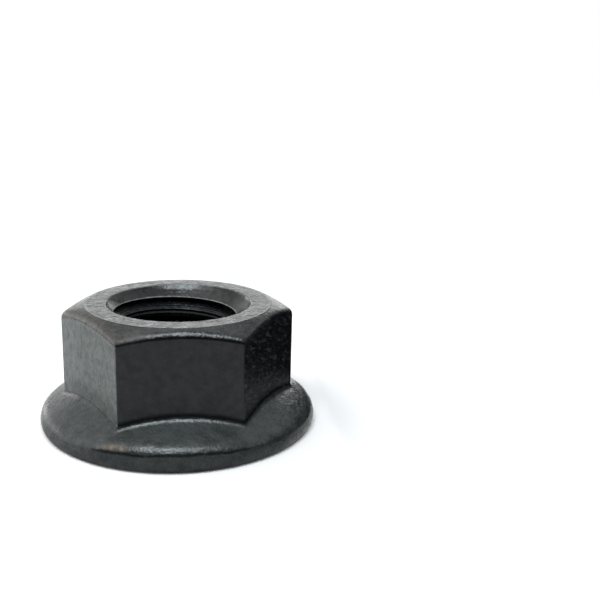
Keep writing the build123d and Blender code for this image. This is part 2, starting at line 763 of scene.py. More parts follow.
        # painted shade along the rim's top edge, where the knee is full
        edge = nut.knee_sizes(spots.angle)["edge_height"] + self.brow_lift
        brow = self.brow.at(np.abs(spots.height - edge) + nut.forging.rag(spots.places))
        brow = brow * (inward < self.brow_width) * step(nut.fullness(spots.angle), *self.brow_fullness)
        return [self.lip_tone * lip * (inward < self.lip_width), self.rim_tone * rim, brow]

    def _stained(self, spots: Survey) -> np.ndarray:
        """Stain the crown's edge.

        Args:
            spots: The nut's points.

        Returns:
            How far each of them is stained.
        """
        inner, outer = self.stain_reach
        near_wall = (spots.radius > spots.wall - inner) & (spots.radius < spots.wall + outer)
        return self.stain.at(spots.angle) * self.stain_edge.at(spots.height - spots.crown) * near_wall

    def _tarnished(self, spots: Survey) -> np.ndarray:
        """Tarnish the knee.

        Args:
            spots: The nut's points.

        Returns:
            How far each of them is tarnished.
        """
        knee = spots.nut.full_knee
        bend = self.tarnish_bend.at(spots.radius - spots.nut.rim_radius + knee.inset)
        above_edge = step(spots.height, knee.edge_height, knee.edge_height + self.tarnish_rise)
        return bend * above_edge * self.tarnish.around(spots.angle)

    def _edge_gap(self, spots: Survey) -> np.ndarray:
        """Measure how far the pale edges are: rubbed steel, and painted highlights along them.

        Args:
            spots: The nut's points.

        Returns:
            The distance from each point to the nearest pale edge, in millimetres.
        """
        nut = spots.nut
        inset, depth = self.ring_edge
        below = spots.height < nut.height - depth
        ring_edge = np.abs(spots.radius - nut.ring_radius + inset) + below * self.far
        mouth = np.hypot(spots.radius - nut.mouth_radius, spots.height - nut.height)
        groove = nut.thread.upper_flank_on(nut.height, nut.mouth_radius, spots.angle)
        groove_edge = np.where(spots.top_bowl, np.abs(spots.height - groove) * sqrt(2), self.far)
        return np.min([ring_edge + self.least_gap, mouth + self.least_gap, groove_edge], axis=0) / MM


@dataclass(frozen=True)
class FlangeNut:
    """The nut's sizes, and how its one piece is made and dressed.

    Attributes:
        height: Height of the nut.
        rim_radius: Radius of the flange where it is widest.
        across_flats: Width of the hexagon between two flats.
        corner_radius: Rounding of the hexagon's upright edges.
        ring_radius: Radius at which the flat ring on top and the crown's chamfer would meet.
        crown_angle: Slope of that chamfer, from the level.
        ring_edge_rounding: Rounding between the ring and the chamfer.
        crown_edge_rounding: Rounding between the chamfer and the wall.
        foot_rounding: Rounding of the hollow at the hexagon's foot.
        foot_drop: How far that foot lies below the flange's slope.
        flange_slope: Slope of the flange's top, from the level.
        rim_foot_rounding: Rounding between the bearing face and the rim.
        shoulder_height: Height from which the rim leans in.
        shoulder_rounding: Rounding of that lean.
        knee: The knee round most of the flange.
        full_knee: The knee where the dies filled it most.
        filled: How the full knee passes into the other, going round.
        bore_radius: Radius of the tapped bore.
        mouth_radius: Radius of the countersinks' mouths.
        mouth_rounding: Rounding of the mouth at the top.
        bearing_mouth_rounding: Rounding of the mouth in the bearing face.
        bowl_bend: How far in and down from its mouth the countersink at the top bends.
        bowl_rounding: Rounding of that bend.
        columns_on_corner: The mesh's columns on each rounded corner of the hexagon.
        columns_on_flat: Its columns on each flat.
        forging: The uneven surface.
        thread: The thread.
        wear_and_painted_light: The streaked, stained and rubbed marks, and the painted shade and light.
    """

    height: float
    rim_radius: float
    across_flats: float = 18.9 * MM
    corner_radius: float = 0.4 * MM
    ring_radius: float = 8.7 * MM
    crown_angle: float = radians(23.5)
    ring_edge_rounding: float = 0.5 * MM
    crown_edge_rounding: float = 0.8 * MM
    foot_rounding: float = 0.6 * MM
    foot_drop: float = 0.10 * MM
    flange_slope: float = radians(28.5)
    rim_foot_rounding: float = 0.74 * MM
    shoulder_height: float = 0.95 * MM
    shoulder_rounding: float = 0.6 * MM
    knee: Knee = Knee(0.16 * MM, 1.50 * MM, 0.80 * MM, 0.56 * MM, 1.96 * MM, 2.0 * MM)
    full_knee: Knee = Knee(0.11 * MM, 1.72 * MM, 0.05 * MM, 0.31 * MM, 2.33 * MM, 1.2 * MM)
    filled: Fade = Fade(radians(12), radians(40), centre=radians(-95))
    bore_radius: float = 5.373 * MM
    mouth_radius: float = 6.8 * MM
    mouth_rounding: float = 0.16 * MM
    bearing_mouth_rounding: float = 0.4 * MM
    bowl_bend: tuple[float, float] = (0.21 * MM, 0.36 * MM)
    bowl_rounding: float = 1.6 * MM
    columns_on_corner: int = 8
    columns_on_flat: int = 72
    forging: Forging = Forging()
    thread: Thread = Thread()
    wear_and_painted_light: WearAndPaintedLight = WearAndPaintedLight()

    @classmethod
    def from_frame(cls) -> "FlangeNut":
        """Make a nut as high and as wide as the CAD solid."""
        lowest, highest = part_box(NODE)
        return cls(height=highest.z - lowest.z, rim_radius=highest.x)

    @property
    def corner_half_angle(self) -> float:
        """Half of the angle that the rounding of an upright edge takes up, seen from the axis."""
        hub = (self.across_flats / 2 - self.corner_radius) / cos(pi / 6)
        return atan2(self.corner_radius / 2, hub + self.corner_radius * cos(pi / 6))

    def angles(self) -> np.ndarray:
        """Divide the full turn into columns.

        Returns:
            The columns' angles, closer together at the hexagon's corners.
        """
        half = self.corner_half_angle
        corner = np.linspace(-half, half, self.columns_on_corner, endpoint=False)
        flat = np.linspace(half, pi / 3 - half, self.columns_on_flat, endpoint=False)
        sector = np.concatenate([corner, flat])
        return np.concatenate([sector + side * pi / 3 for side in range(6)])

    def from_corner(self, angles: np.ndarray) -> np.ndarray:
        """Angle from each direction to the nearest corner of the hexagon."""
        return (angles + pi / 6) % (pi / 3) - pi / 6

    def wall_radius(self, angles: np.ndarray) -> np.ndarray:
        """Distance from the axis to the hexagon's wall, rounded at its corners.

        Args:
            angles: Directions from the axis. A corner lies at 0.

        Returns:
            One distance for each angle.
        """
        aside = self.from_corner(angles)
        hub = (self.across_flats / 2 - self.corner_radius) / cos(pi / 6)
        flat = self.across_flats / 2 / np.cos(pi / 6 - np.abs(aside))
        inside = np.maximum(self.corner_radius**2 - (hub * np.sin(aside)) ** 2, 0)
        rounded = hub * np.cos(aside) + np.sqrt(inside)
        return np.where(np.abs(aside) < self.corner_half_angle, rounded, flat)

    def crown_height(self, wall: np.ndarray) -> np.ndarray:
        """Height of the crown's outer edge where the wall is that far from the axis."""
        return self.height - (wall - self.ring_radius) * tan(self.crown_angle)

    def foot_height(self, wall: np.ndarray) -> np.ndarray:
        """Find the hexagon's foot.

        Args:
            wall: Distances from the axis to the wall.

        Returns:
            The foot's height for each.
        """
        knee_radius = self.rim_radius - self.knee.inset
        slope = tan(self.flange_slope)
        return self.knee.height - self.foot_drop + (knee_radius - wall) * slope

    def fullness(self, angles: np.ndarray) -> np.ndarray:
        """How well the dies filled the flange's knee, 1 on the side where they filled it most."""
        return self.filled.around(angles)

    def knee_sizes(self, angles: np.ndarray) -> dict[str, np.ndarray]:
        """The knee at every column.

        Args:
            angles: The columns' directions.

        Returns:
            The knee's sizes, with the rim's top edge straying as the dies left it.
        """
        sizes = self.knee.between(self.full_knee, self.fullness(angles))
        sizes["edge_height"] = sizes["edge_height"] + self.forging.edge_line(angles, self.rim_radius)
        return sizes

    def rings(self, angles: np.ndarray) -> tuple[np.ndarray, np.ndarray]:
        """The meridian outline at every column.

        Args:
            angles: The columns' directions.

        Returns:
            Radii and heights, as Outline.rings gives them.
        """
        wall = self.wall_radius(angles)
        foot = self.foot_height(wall)
        knee = self.knee_sizes(angles)
        knee_radius = self.rim_radius - knee["inset"]
        sink = self.mouth_radius - self.bore_radius

        outline = Outline(len(angles))
        outline.add(self.mouth_radius, 0, self.bearing_mouth_rounding, 4, 6)
        outline.add(self.rim_radius, 0, self.rim_foot_rounding, 7, 2)
        outline.add(self.rim_radius, self.shoulder_height, self.shoulder_rounding, 3, 4)
        outline.add(self.rim_radius - knee["edge_inset"], knee["edge_height"], knee["edge_rounding"], 3, 3)
        outline.add(knee_radius, knee["height"], knee["rounding"], 10, 11)
        outline.add(wall, foot, self.foot_rounding, 8, 20)
        outline.add(wall, self.crown_height(wall), self.crown_edge_rounding, 7, 7)
        outline.add(self.ring_radius, self.height, self.ring_edge_rounding, 4, 7)
        outline.add(self.mouth_radius, self.height, self.mouth_rounding, 4, 5)
        inward, down = self.bowl_bend
        outline.add(self.mouth_radius - inward, self.height - down, self.bowl_rounding, 7, 4)
        outline.add(self.bore_radius, self.height - sink, 0, 1, 14)
        outline.add(self.bore_radius, sink, 0, 1, 5)
        return outline.rings()

    def blank(self) -> bpy.types.Object:
        """Make the nut before it is tapped, as one closed mesh.

        Returns:
            The blank, at its place.
        """
        angles = self.angles()
        radii, heights = self.rings(angles)
        rings, columns = radii.shape
        points = np.stack([radii * np.cos(angles), radii * np.sin(angles), heights], axis=2)
        ring, column = np.meshgrid(np.arange(rings), np.arange(columns), indexing="ij")
        next_ring = (ring + 1) % rings
        next_column = (column + 1) % columns
        faces = np.stack(
            [
                ring * columns + column,
                ring * columns + next_column,
                next_ring * columns + next_column,
                next_ring * columns + column,
            ],
            axis=2,
        )
        mesh = bpy.data.meshes.new("nut")
        mesh.from_pydata(points.reshape(-1, 3).tolist(), [], faces.reshape(-1, 4).tolist())
        blank = bpy.data.objects.new("nut", mesh)
        bpy.context.scene.collection.objects.link(blank)
        self.forge(mesh)
        return blank

    def forge(self, mesh: bpy.types.Mesh) -> None:
        """Dent the flange, and leave the flats, the bearing face and the bore true.

        Args:
            mesh: The blank's mesh.
        """
        places = positions(mesh)
        normals = np.empty(len(mesh.vertices) * 3)
        mesh.vertex_normals.foreach_get("vector", normals)
        normals = normals.reshape(-1, 3)
        radius = np.hypot(places[:, 0], places[:, 1])
        wall = self.wall_radius(np.arctan2(places[:, 1], places[:, 0]))
        outside = step(radius - wall, *self.forging.off_wall) * step(places[:, 2], *self.forging.off_face)
        for index in np.nonzero(outside > 0)[0]:
            dent = self.forging.dent(Vector(places[index]))
            places[index] -= normals[index] * dent * outside[index]
        mesh.vertices.foreach_set("co", places.reshape(-1))
        mesh.update()

    def build(self, dress: bpy.types.Material) -> bpy.types.Object:
        """Make the whole nut.

        Args:
            dress: The finish.

        Returns:
            The finished piece.
        """
        nut = self.blank()
        nut.data.materials.append(dress)
        cutter = self.thread.cutter(self.bore_radius, self.height, dress)
        cut = nut.modifiers.new("tap", "BOOLEAN")
        cut.operation = "DIFFERENCE"
        cut.solver = "MANIFOLD"
        cut.object = cutter
        applied(nut)
        bpy.data.objects.remove(cutter)
        clean(nut)
        self.mark(nut.data)
        return nut

    def mark(self, mesh: bpy.types.Mesh) -> None:
        """Write on each point which face of the nut it lies on, how rubbed, matt or stained it is, and how
        much shade and light is painted on it.

        Args:
            mesh: The finished mesh.
        """
        spots = Survey(self, mesh)
        for name, values in (spots.faces() | self.wear_and_painted_light.marks(spots)).items():
            write_attribute(mesh, name, values)


def positions(mesh: bpy.types.Mesh) -> np.ndarray:
    """Read the points of a mesh.

    Args:
        mesh: The mesh.

    Returns:
        Their places, one row each.
    """
    flat = np.empty(len(mesh.vertices) * 3)
    mesh.vertices.foreach_get("co", flat)
    return flat.reshape(-1, 3)


def step(values: np.ndarray, low: float, high: float) -> np.ndarray:
    """Ease from 0 at low to 1 at high."""
    share = np.clip((values - low) / (high - low), 0, 1)
    return share * share * (3 - 2 * share)


def write_attribute(mesh: bpy.types.Mesh, name: str, values: np.ndarray) -> None:
    """Store one number for each point of a mesh, under that name."""
    attribute = mesh.attributes.new(name, "FLOAT", "POINT")
    attribute.data.foreach_set("value", values.astype(np.float32))


def clean(piece: bpy.types.Object) -> None:
    """Merge doubled points, point the faces outwards and shade smooth up to the sharp edges.

    Args:
        piece: The piece.
    """
    work = bmesh.new()
    work.from_mesh(piece.data)
    bmesh.ops.remove_doubles(work, verts=work.verts, dist=MERGE_DISTANCE)
    bmesh.ops.dissolve_degenerate(work, edges=work.edges, dist=MERGE_DISTANCE)
    bmesh.ops.recalc_face_normals(work, faces=work.faces)
    work.to_mesh(piece.data)
    work.free()
    piece.data.shade_smooth()
    piece.data.set_sharp_from_angle(angle=SHARP_ANGLE)


class ShaderTree(NodeBuilder):
    """A material that is built node by node, around a Principled shader."""

    def __init__(self, name: str) -> None:
        """Start a material with only that shader.

        Args:
            name: The material's name.
        """
        self.material = bpy.data.materials.new(name)
        self.material.use_nodes = True
        super().__init__(self.material.node_tree)
        self.shader = self.tree.nodes["Principled BSDF"]

    def attribute(self, name: str) -> Socket:
        """The value of one of the mesh's attributes."""
        return self.node("ShaderNodeAttribute", attribute_name=name).outputs["Fac"]

    def ease(self, value: Source, low: float, high: float, start: Source, end: Source) -> Socket:
        """Map a value smoothly from one range to another."""
        sources = {"Value": value, "From Min": low, "From Max": high, "To Min": start, "To Max": end}
        return self.make("ShaderNodeMapRange", sources, interpolation_type="SMOOTHSTEP")

    def mix(self, share: Source, first: Source, second: Source) -> Socket:
        """Mix two numbers."""
        return self.make("ShaderNodeMix", {0: share, 2: first, 3: second}, data_type="FLOAT")

    def blend(self, share: Source, first: Source, second: Source) -> Socket:
        """Mix two colours."""
        return self.node("ShaderNodeMix", {0: share, 6: first, 7: second}, data_type="RGBA").outputs[2]

    def length(self, place: Socket) -> Socket:
        """How far a place is from the origin."""
        return self.node("ShaderNodeVectorMath", {0: place}, operation="LENGTH").outputs["Value"]


class NutTree(ShaderTree):
    """A material for the nut, which knows where each spot lies, in millimetres."""

    def __init__(self, name: str, regions: list[str]) -> None:
        """Start the material.

        Args:
            name: The material's name.
            regions: The attributes that mark the nut's regions.
        """
        super().__init__(name)
        place = self.node("ShaderNodeTexCoord").outputs["Object"]
        self.place = self.make("ShaderNodeVectorMath", {0: place, "Scale": 1 / MM}, operation="SCALE")
        self.axes = self.node("ShaderNodeSeparateXYZ", {0: self.place}).outputs
        self.radius = self.length(self.make("ShaderNodeCombineXYZ", {0: self.axes[0], 1: self.axes[1]}))
        self.masks = {region: self.attribute(region) for region in regions}

    def grain(
        self, scale: float, detail: float = 3, rough: float = 0.5, place: Socket | None = None
    ) -> Socket:
        """Make noise between 0 and 1.

        Args:
            scale: Its scale to the millimetre.
            detail: Its detail.
            rough: Its roughness.
            place: Where it is read, if not at the spot itself.

        Returns:
            The noise.
        """
        spot = self.place if place is None else place
        sources = {"Vector": spot, "Scale": scale, "Detail": detail, "Roughness": rough}
        return self.make("ShaderNodeTexNoise", sources)

    def turned_grain(self, scale: float, detail: float) -> Socket:
        """Noise between 0 and 1 that runs round the axis, scale to the millimetre."""
        sources = {"W": self.radius, "Scale": scale, "Detail": detail}
        return self.make("ShaderNodeTexNoise", sources, noise_dimensions="1D")


@dataclass(frozen=True)
class Mottle:
    """Noise eased from one range to another.

    Attributes:
        scale: Its scale to the millimetre.
        detail: Its detail.
        rough: Its roughness.
        spread: The part of the noise's range that counts.
        result: What that part is mapped to.
    """

    scale: float
    detail: float
    rough: float
    spread: tuple[float, float] = (0.0, 1.0)
    result: tuple[float, float] = (0.0, 1.0)

    def on(self, tree: NutTree, place: Socket | None = None) -> Socket:
        """The eased noise in a material, read at a place as grain() does."""
        return tree.ease(tree.grain(self.scale, self.detail, self.rough, place), *self.spread, *self.result)


@dataclass(frozen=True)
class Skin:
    """How one region of the nut looks.

    Attributes:
        region: The attribute that marks the region, or nothing for all that the others leave.
        dark: The mottle's darker colour.
        pale: Its paler colour.
        patch: Size of its patches, in millimetres.
        fleck: Size of its flecks, in millimetres.
        fleck_share: How much of the mottle is flecks.
        roughness: The roughness of its smoothest and roughest patches.
        relief: Strength of its fine relief.
    """

    region: str
    dark: Colour
    pale: Colour
    patch: float
    fleck: float
    fleck_share: float
    roughness: tuple[float, float]
    relief: float


@dataclass(frozen=True)
class ThreadTone:
    """How dark the thread is painted, as shade in the bore, and where its crest is painted paler.

    Radii and distances are in millimetres.

    Attributes:
        thread: The thread.
        crest: Radii between which its crest ends.
        crest_shade: How dark the crest is painted, as shade in the bore.
        crest_wear_and_painted_light: How pale the middle of the crest is painted: rubbed metal and a
            painted highlight.
        worn_glint_middle: Where that middle lies above the groove's own, as a share of the pitch.
        worn_glint_reach: How far from the middle, likewise, the paleness sets out to fade and is gone.
        line_radius: Radius of the dark line along the flanks.
        line_spread: Distances from it between which it fades.
        line_shade: How dark it is.
        root: Radii between which the flanks are painted darker towards the root, as shade in the groove.
        root_shade: How dark they get.
    """

    thread: Thread = Thread()
    crest: tuple[float, float] = (5.385, 5.415)
    crest_shade: float = 0.85
    crest_wear_and_painted_light: float = 0.5
    worn_glint_middle: float = 0.495
    worn_glint_reach: tuple[float, float] = (0.036, 0.06)
    line_radius: float = 5.84
    line_spread: tuple[float, float] = (0.03, 0.09)
    line_shade: float = 0.55
    root: tuple[float, float] = (5.88, 6.20)
    root_shade: float = 0.35

    def middle(self, tree: NutTree) -> Socket:
        """Find the middle of the crest, which is painted paler: rubbed metal and a painted highlight.

        Args:
            tree: The material's tree.

        Returns:
            1 along the middle and 0 away from it.
        """
        right, back, up = tree.axes
        angle = tree.maths("SUBTRACT", tree.maths("ARCTAN2", back, right), self.thread.start_angle)
        rise = tree.maths("DIVIDE", up, self.thread.pitch / MM)
        turn = tree.maths("FRACT", tree.maths("SUBTRACT", rise, tree.maths("DIVIDE", angle, 2 * pi)))
        aside = tree.maths("ABSOLUTE", tree.maths("SUBTRACT", turn, self.worn_glint_middle))
        return tree.ease(aside, *self.worn_glint_reach, 1, 0)

    def wear_and_painted_light(self, tree: NutTree) -> Socket:
        """How pale the crest is painted where its middle is."""
        return tree.ease(tree.radius, *self.crest, self.crest_wear_and_painted_light, 0)

    def shade(self, tree: NutTree, middle: Socket) -> Socket:
        """Paint shade in the thread.

        Args:
            tree: The material's tree.
            middle: 1 along the middle of the crest.

        Returns:
            How far each spot is darkened.
        """
        root = tree.ease(tree.radius, *self.root, 0, self.root_shade)
        from_line = tree.maths("ABSOLUTE", tree.maths("SUBTRACT", tree.radius, self.line_radius))
        line = tree.ease(from_line, *self.line_spread, self.line_shade, 0)
        crest = tree.ease(tree.radius, *self.crest, self.crest_shade, 0)
        unworn = tree.maths("SUBTRACT", 1.0, middle)
        return tree.maths("MAXIMUM", root, line, tree.maths("MULTIPLY", crest, unworn))


@dataclass(frozen=True)
class OxideFinish:
    """Black oxide on forged and turned steel, semi-matt and slightly mottled.

    Lengths are in millimetres, apart from the relief's depth.

    Attributes:
        skins: How each region looks. The first is the one that the others leave.
        patch_detail: Detail of the noise that makes their patches.
        fleck_detail: Detail of the noise that makes their flecks.
        mottle_rough: Roughness of both noises.
        mottle_spread: The part of their range that the mottle goes through.
        bare_and_glint: Colour of the pale edges: rubbed steel, and painted highlights.
        bare_and_glint_share: How much of it shows.
        bare_and_glint_edge: Gaps from the edge between which the oxide covers it again.
        ragged: How far that outline strays.
        ragged_scale: The scale of its straying, to the millimetre.
        dull_and_lit: Colour of the pale patches on the flats: painted light, in mottled patches.
        dull_and_lit_noise: A coarse and a fine noise that make them.
        dull_and_lit_fineness: How much of the fine one there is.
        dull_and_lit_spread: The part of their range that counts.
        dull_and_lit_reach: The least and the most that a patch is painted paler.
        streak: Colour of the drawing marks, and of the crest's pale middle: rubbed metal and a painted
            highlight.
        streak_noise: Where the marks lie.
        streak_turn: The turn that makes them slant.
        streak_scale: How narrow they are in each direction.
        brown: Colour of the tarnish.
        brown_noise: Where it lies.
        rust: Colour of the stain.
        rust_noise: Where it lies.
        specular: How much light the oxide throws back.
        patchy: How that varies.
        flat_evenness: How far the flats are spared from varying.
        patches: How the roughness varies.
        coarse: Roughness of the stain and of the matt patch.
        relief_depth: Depth of the fine relief, in metres.
        relief_detail: Detail of its noises.
        grain_size: Size of its forged grain.
        lump_size: Size of its lumps.
        lump_share: How deep the lumps are next to the grain.
        turning_scale: How close the turning lines lie, to the millimetre.
        turning_detail: Their detail.
        bowl_lines: How much of the relief they take up in the countersinks.
        thread_lines: How much on the thread.
        groove: The thread's painted shade and its pale crest.
        deepest: How black the darkest painted shade is.
    """

    skins: tuple[Skin, ...] = (
        Skin(
            "", (0.0124, 0.0140, 0.0143, 1), (0.0221, 0.0242, 0.0242, 1),
            patch=1.3, fleck=0.22, fleck_share=0.35, roughness=(0.24, 0.31), relief=1.35,
        ),
        Skin(
            "flat", (0.0020, 0.0024, 0.0030, 1), (0.0052, 0.0056, 0.0064, 1),
            patch=0.8, fleck=0.22, fleck_share=0.35, roughness=(0.34, 0.44), relief=1.0,
        ),
        Skin(
            "crown", (0.0065, 0.0072, 0.0074, 1), (0.0130, 0.0142, 0.0144, 1),
            patch=0.8, fleck=0.20, fleck_share=0.4, roughness=(0.24, 0.30), relief=1.4,
        ),
        Skin(
            "ring", (0.007, 0.007, 0.007, 1), (0.082, 0.084, 0.081, 1),
            patch=0.8, fleck=0.26, fleck_share=0.5, roughness=(0.36, 0.46), relief=9.0,
        ),
        Skin(
            "bowl", (0.0040, 0.0048, 0.0050, 1), (0.0105, 0.0108, 0.0104, 1),
            patch=0.9, fleck=0.20, fleck_share=0.4, roughness=(0.16, 0.21), relief=1.0,
        ),
        Skin(
            "thread", (0.0006, 0.0008, 0.0011, 1), (0.0042, 0.0051, 0.0060, 1),
            patch=0.4, fleck=0.18, fleck_share=0.6, roughness=(0.24, 0.32), relief=3.0,
        ),
    )
    patch_detail: float = 4
    fleck_detail: float = 2
    mottle_rough: float = 0.6
    mottle_spread: tuple[float, float] = (0.38, 0.62)
    bare_and_glint: Colour = (0.20, 0.205, 0.20, 1)
    bare_and_glint_share: float = 0.45
    bare_and_glint_edge: tuple[float, float] = (-0.06, 0.02)
    ragged: float = 0.22
    ragged_scale: float = 4.0
    dull_and_lit: Colour = (0.078, 0.086, 0.083, 1)
    dull_and_lit_noise: tuple[Mottle, Mottle] = (Mottle(1.4, 5, 0.65), Mottle(4.5, 2, 0.6))
    dull_and_lit_fineness: float = 0.4
    dull_and_lit_spread: tuple[float, float] = (0.36, 0.60)
    dull_and_lit_reach: tuple[float, float] = (0.5, 1.0)
    streak: Colour = (0.050, 0.055, 0.052, 1)
    streak_noise: Mottle = Mottle(1.0, 3, 0.6, (0.50, 0.72))
    streak_turn: float = radians(-35)
    streak_scale: tuple[float, float, float] = (0.9, 0.9, 5.0)
    brown: Colour = (0.085, 0.066, 0.050, 1)
    brown_noise: Mottle = Mottle(1.6, 4, 0.5, (0.3, 0.6), (0.3, 1.0))
    rust: Colour = (0.042, 0.034, 0.028, 1)
    rust_noise: Mottle = Mottle(3.2, 4, 0.5, (0.38, 0.62), (0.05, 0.6))
    specular: float = 0.27
    patchy: Mottle = Mottle(1.4, 5, 0.64, (0.34, 0.66), (0.72, 1.28))
    flat_evenness: float = 0.55
    patches: Mottle = Mottle(1.1, 4, 0.6, (0.35, 0.65))
    coarse: float = 0.5
    relief_depth: float = 0.03 * MM
    relief_detail: float = 2
    grain_size: float = 0.27
    lump_size: float = 0.8
    lump_share: float = 1.2
    turning_scale: float = 9.0
    turning_detail: float = 2
    bowl_lines: float = 0.15
    thread_lines: float = 0.5
    groove: ThreadTone = ThreadTone()
    deepest: float = 0.9

    def material(self) -> bpy.types.Material:
        """Build the material.

        Returns:
            The material.
        """
        tree = NutTree("black_oxide", [skin.region for skin in self.skins[1:]])
        # painted shade in the thread; the crest's pale middle is rubbed metal and a painted highlight
        middle = self.groove.middle(tree)
        dark = tree.maths("MULTIPLY", self.groove.shade(tree, middle), tree.masks["thread"])
        shade = tree.maths("MAXIMUM", tree.attribute("shade"), dark)
        worn_glint = tree.maths("MULTIPLY", self.groove.wear_and_painted_light(tree), tree.masks["thread"], middle)
        colour = tree.blend(worn_glint, self._marked(tree, self._mottled(tree)), self.streak)
        colour = self._stained(tree, colour)
        colour = tree.blend(tree.maths("MULTIPLY", shade, self.deepest), colour, BLACK)
        even = tree.maths("MULTIPLY", tree.masks["flat"], self.flat_evenness)
        patchy = tree.mix(even, self.patchy.on(tree), 1.0)
        looks = {
            "Base Color": colour,
            "Roughness": self._roughness(tree),
            "Normal": self._relief(tree),
            "Specular IOR Level": tree.mix(shade, tree.maths("MULTIPLY", patchy, self.specular), 0.0),
        }
        for name, source in looks.items():
            tree.feed(tree.shader.inputs[name], source)
        return tree.material

    def _mottled(self, tree: NutTree) -> Socket:
        """Mottle every region.

        Args:
            tree: The material's tree.

        Returns:
            The colour.
        """
        colour = None
        for skin in self.skins:
            patches = tree.grain(1 / skin.patch, self.patch_detail, self.mottle_rough)
            flecks = tree.grain(1 / skin.fleck, self.fleck_detail, self.mottle_rough)
            mottle = tree.ease(tree.mix(skin.fleck_share, patches, flecks), *self.mottle_spread, 0, 1)
            own = tree.blend(mottle, skin.dark, skin.pale)
            colour = own if colour is None else tree.blend(tree.masks[skin.region], colour, own)
        return colour

    def _marked(self, tree: NutTree, colour: Socket) -> Socket:
        """Lay the pale patches of painted light and the drawing marks over the flats.

        Args:
            tree: The material's tree.
            colour: The colour below them.

        Returns:
            The colour with them.
        """
        noises = [tree.grain(one.scale, one.detail, one.rough) for one in self.dull_and_lit_noise]
        # pale patches on the flats: painted light, mottled
        dull_and_lit = tree.ease(tree.mix(self.dull_and_lit_fineness, *noises), *self.dull_and_lit_spread, *self.dull_and_lit_reach)
        colour = tree.blend(tree.maths("MULTIPLY", tree.attribute("painted_side_light"), dull_and_lit), colour, self.dull_and_lit)
        slant = {"Vector": tree.place, "Angle": self.streak_turn}
        turned = tree.make("ShaderNodeVectorRotate", slant, rotation_type="Y_AXIS")
        drawn = tree.make("ShaderNodeVectorMath", {0: turned, 1: self.streak_scale}, operation="MULTIPLY")
        marks = tree.maths("MULTIPLY", self.streak_noise.on(tree, drawn), tree.attribute("streaks"))
        return tree.blend(marks, colour, self.streak)

    def _stained(self, tree: NutTree, colour: Socket) -> Socket:
        """Lay the tarnish and the stain over the colour, and paint the edges pale, as rubbed steel and thin
        highlights.

        Args:
            tree: The material's tree.
            colour: The colour below them.

        Returns:
            The colour with them.
        """
        layers = (("tarnish", self.brown_noise, self.brown), ("rust", self.rust_noise, self.rust))
        for name, mottle, tint in layers:
            colour = tree.blend(tree.maths("MULTIPLY", tree.attribute(name), mottle.on(tree)), colour, tint)
        # pale edges: rubbed steel, and painted highlights along them
        strays = tree.maths("MULTIPLY", tree.grain(self.ragged_scale), self.ragged)
        gap = tree.maths("SUBTRACT", tree.attribute("edge_gap"), strays)
        return tree.blend(tree.ease(gap, *self.bare_and_glint_edge, self.bare_and_glint_share, 0), colour, self.bare_and_glint)

    def _roughness(self, tree: NutTree) -> Socket:
        """Find the roughness over the whole nut.

        Args:
            tree: The material's tree.

        Returns:
            The roughness.
        """
        rough = None
        for skin in self.skins:
            own = replace(self.patches, result=skin.roughness).on(tree)
            rough = own if rough is None else tree.mix(tree.masks[skin.region], rough, own)
        coarse = tree.maths("MAXIMUM", tree.attribute("rust"), tree.attribute("matt"))
        return tree.mix(coarse, rough, self.coarse)

    def _relief(self, tree: NutTree) -> Socket:
        """Make the fine relief: forged grain, and turning lines in the countersinks and on the thread.

        Args:
            tree: The material's tree.

        Returns:
            The normal.
        """
        strength = self.skins[0].relief
        for skin in self.skins[1:]:
            strength = tree.mix(tree.masks[skin.region], strength, skin.relief)
        fine = tree.grain(1 / self.grain_size, self.relief_detail)
        broad = tree.maths("MULTIPLY", tree.grain(1 / self.lump_size, self.relief_detail), self.lump_share)
        in_bowl = tree.maths("MULTIPLY", tree.masks["bowl"], self.bowl_lines)
        on_thread = tree.maths("MULTIPLY", tree.masks["thread"], self.thread_lines)
        lines = tree.turned_grain(self.turning_scale, self.turning_detail)
        height = tree.mix(tree.maths("MAXIMUM", in_bowl, on_thread), tree.maths("ADD", fine, broad), lines)
        sources = {
            "Height": tree.maths("MULTIPLY", height, strength),
            "Distance": self.relief_depth,
            "Strength": 1.0,
        }
        return tree.make("ShaderNodeBump", sources)


@dataclass(frozen=True)
class Viewpoint:
    """Where the camera stands and how it is turned, in the nut's own frame.

    Attributes:
        lens: Focal length, in millimetres.
        sensor: Width of the sensor, likewise.
        sight: The nearest and the farthest that it sees.
        place: Where it stands.
        turn: How far it is turned round the upright axis, from +Y.
        dip: How far it looks down.
        roll: How far it leans to one side.
    """

    lens: float = 50.61
    sensor: float = 36.0
    sight: tuple[float, float] = (1 * MM, 20.0)
    place: tuple[float, float, float] = (-1.167 * MM, -77.725 * MM, 32.553 * MM)
    turn: float = radians(-9.307)
    dip: float = radians(14.948)
    roll: float = radians(1.691)

    def build(self) -> None:
        """Make the camera and set it as the scene's."""
        data = bpy.data.cameras.new("camera")
        data.sensor_width = self.sensor
        data.sensor_fit = "HORIZONTAL"
        data.lens = self.lens
        data.clip_start, data.clip_end = self.sight
        camera = bpy.data.objects.new("camera", data)
        level = Matrix.Rotation(self.turn, 4, "Z") @ Matrix.Rotation(pi / 2 - self.dip, 4, "X")
        camera.matrix_world = Matrix.Translation(self.place) @ level @ Matrix.Rotation(self.roll, 4, "Z")
        bpy.context.scene.collection.objects.link(camera)
        bpy.context.scene.camera = camera


